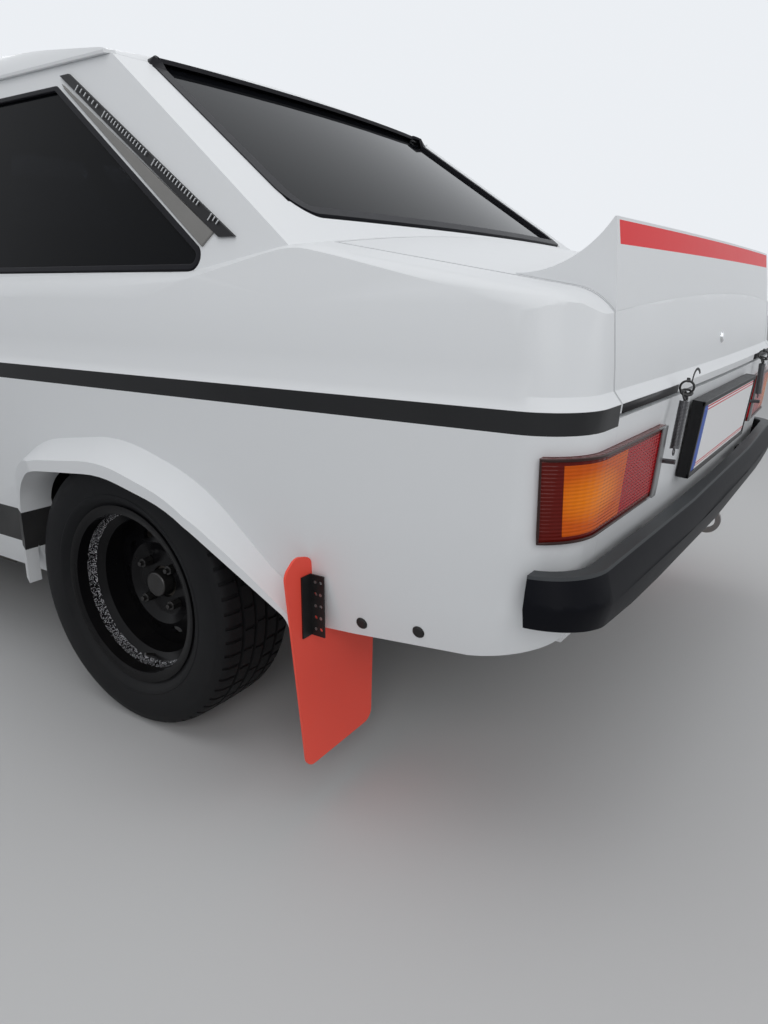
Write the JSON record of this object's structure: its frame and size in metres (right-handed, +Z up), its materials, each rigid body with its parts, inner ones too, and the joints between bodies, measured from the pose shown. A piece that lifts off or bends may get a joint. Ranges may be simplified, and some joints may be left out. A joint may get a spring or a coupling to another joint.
{
  "type": "two-door rally saloon car",
  "caption": "Two-door rally saloon with flared arches, ducktail boot spoiler, opening doors, bonnet and boot, steered front wheels.",
  "frame": {"origin": "centre of the car's bounding box on the ground", "axes": "+X is the car's left, -Y points to its front, +Z is up"},
  "size_m": [1.742, 4.0033, 1.3767],
  "materials": {
    "white_paint": "satin",
    "underseal": "matte",
    "black_plastic": "matte",
    "lamp_glass": "gloss",
    "satin_black": "satin",
    "lamp_lens": "gloss",
    "plate_white": "satin",
    "clear_glass": "gloss",
    "dark_glass": "gloss",
    "red_rubber": "satin",
    "spring_steel": "satin",
    "cast_iron": "matte",
    "chassis_steel": "satin",
    "exhaust_steel": "satin",
    "seat_cloth": "matte",
    "black_leather": "satin",
    "cage_paint": "gloss",
    "eye_steel": "satin",
    "black_steel": "gloss",
    "tyre": "matte"
  },
  "bodies": {
    "root": {"floor_pan": "underseal", "body_side_left": "white_paint", "body_side_right": "white_paint", "roof_panel": "white_paint", "bulkhead": "white_paint", "front_wings": "white_paint", "front_panel": "white_paint", "grille": "black_plastic", "front_lamps": "lamp_glass", "front_bumper": "satin_black", "rear_bumper": "satin_black", "rear_panel": "white_paint", "tail_lamps": "lamp_lens", "number_plates": "plate_white", "windscreen": "clear_glass", "rear_window": "dark_glass", "quarter_windows": "dark_glass", "pillar_vents": "black_plastic", "mud_flaps": "red_rubber", "flap_brackets": "black_plastic", "boot_springs": "spring_steel", "engine_block": "cast_iron", "propshaft": "chassis_steel", "rear_axle": "chassis_steel", "exhaust": "exhaust_steel", "front_suspension": "chassis_steel", "seats": "seat_cloth", "dashboard": "black_plastic", "steering_wheel": "black_leather", "roll_cage": "cage_paint", "rear_shelf": "white_paint", "tow_eyes": "eye_steel"},
    "bonnet": {"bonnet": "white_paint"},
    "boot_lid": {"boot_lid": "white_paint", "rear_spoiler": "white_paint"},
    "door_left": {"door_left": "white_paint", "door_window_left": "dark_glass", "door_mirror_left": "black_plastic"},
    "knuckle_left": {"knuckle_left": "chassis_steel"},
    "door_right": {"door_right": "white_paint", "door_window_right": "dark_glass", "door_mirror_right": "black_plastic"},
    "knuckle_right": {"knuckle_right": "chassis_steel"},
    "wheel_front_left": {"rim_front_left": "black_steel", "tyre_front_left": "tyre"},
    "wheel_front_right": {"rim_front_right": "black_steel", "tyre_front_right": "tyre"},
    "wheel_rear_left": {"rim_rear_left": "black_steel", "tyre_rear_left": "tyre"},
    "wheel_rear_right": {"rim_rear_right": "black_steel", "tyre_rear_right": "tyre"}
  },
  "joints": [
    {"name": "bonnet_hinge", "type": "hinge", "parent": "root", "child": "bonnet", "pos_m": [0, -0.8425, 0.9025], "axis": [-1, 0, 0], "range_deg": [0, 60]},
    {"name": "boot_hinge", "type": "hinge", "parent": "root", "child": "boot_lid", "pos_m": [0, 1.4725, 0.957], "axis": [1, 0, 0], "range_deg": [0, 65]},
    {"name": "door_left_hinge", "type": "hinge", "parent": "root", "child": "door_left", "pos_m": [0.7835, -0.6825, 0.6], "axis": [0, 0, -1], "range_deg": [0, 65]},
    {"name": "door_right_hinge", "type": "hinge", "parent": "root", "child": "door_right", "pos_m": [-0.7835, -0.6825, 0.6], "axis": [0, 0, 1], "range_deg": [0, 65]},
    {"name": "steer_left", "type": "hinge", "parent": "root", "child": "knuckle_left", "pos_m": [0.6, -1.3595, 0.168], "axis": [-0.1606, 0, 0.987], "range_deg": [-30, 30]},
    {"name": "steer_right", "type": "hinge", "parent": "root", "child": "knuckle_right", "pos_m": [-0.6, -1.3595, 0.168], "axis": [0.1606, 0, 0.987], "range_deg": [-30, 30]},
    {"name": "wheel_front_left_spin", "type": "hinge", "parent": "knuckle_left", "child": "wheel_front_left", "pos_m": [0.69, -1.3595, 0.276], "axis": [1, 0, 0], "continuous": true},
    {"name": "wheel_front_right_spin", "type": "hinge", "parent": "knuckle_right", "child": "wheel_front_right", "pos_m": [-0.69, -1.3595, 0.276], "axis": [1, 0, 0], "continuous": true},
    {"name": "wheel_rear_left_spin", "type": "hinge", "parent": "root", "child": "wheel_rear_left", "pos_m": [0.69, 1.0475, 0.276], "axis": [1, 0, 0], "continuous": true},
    {"name": "wheel_rear_right_spin", "type": "hinge", "parent": "root", "child": "wheel_rear_right", "pos_m": [-0.69, 1.0475, 0.276], "axis": [1, 0, 0], "continuous": true}
  ],
  "couplings": [
    {"joint": "steer_right", "follows": "steer_left", "ratio": 1}
  ]
}
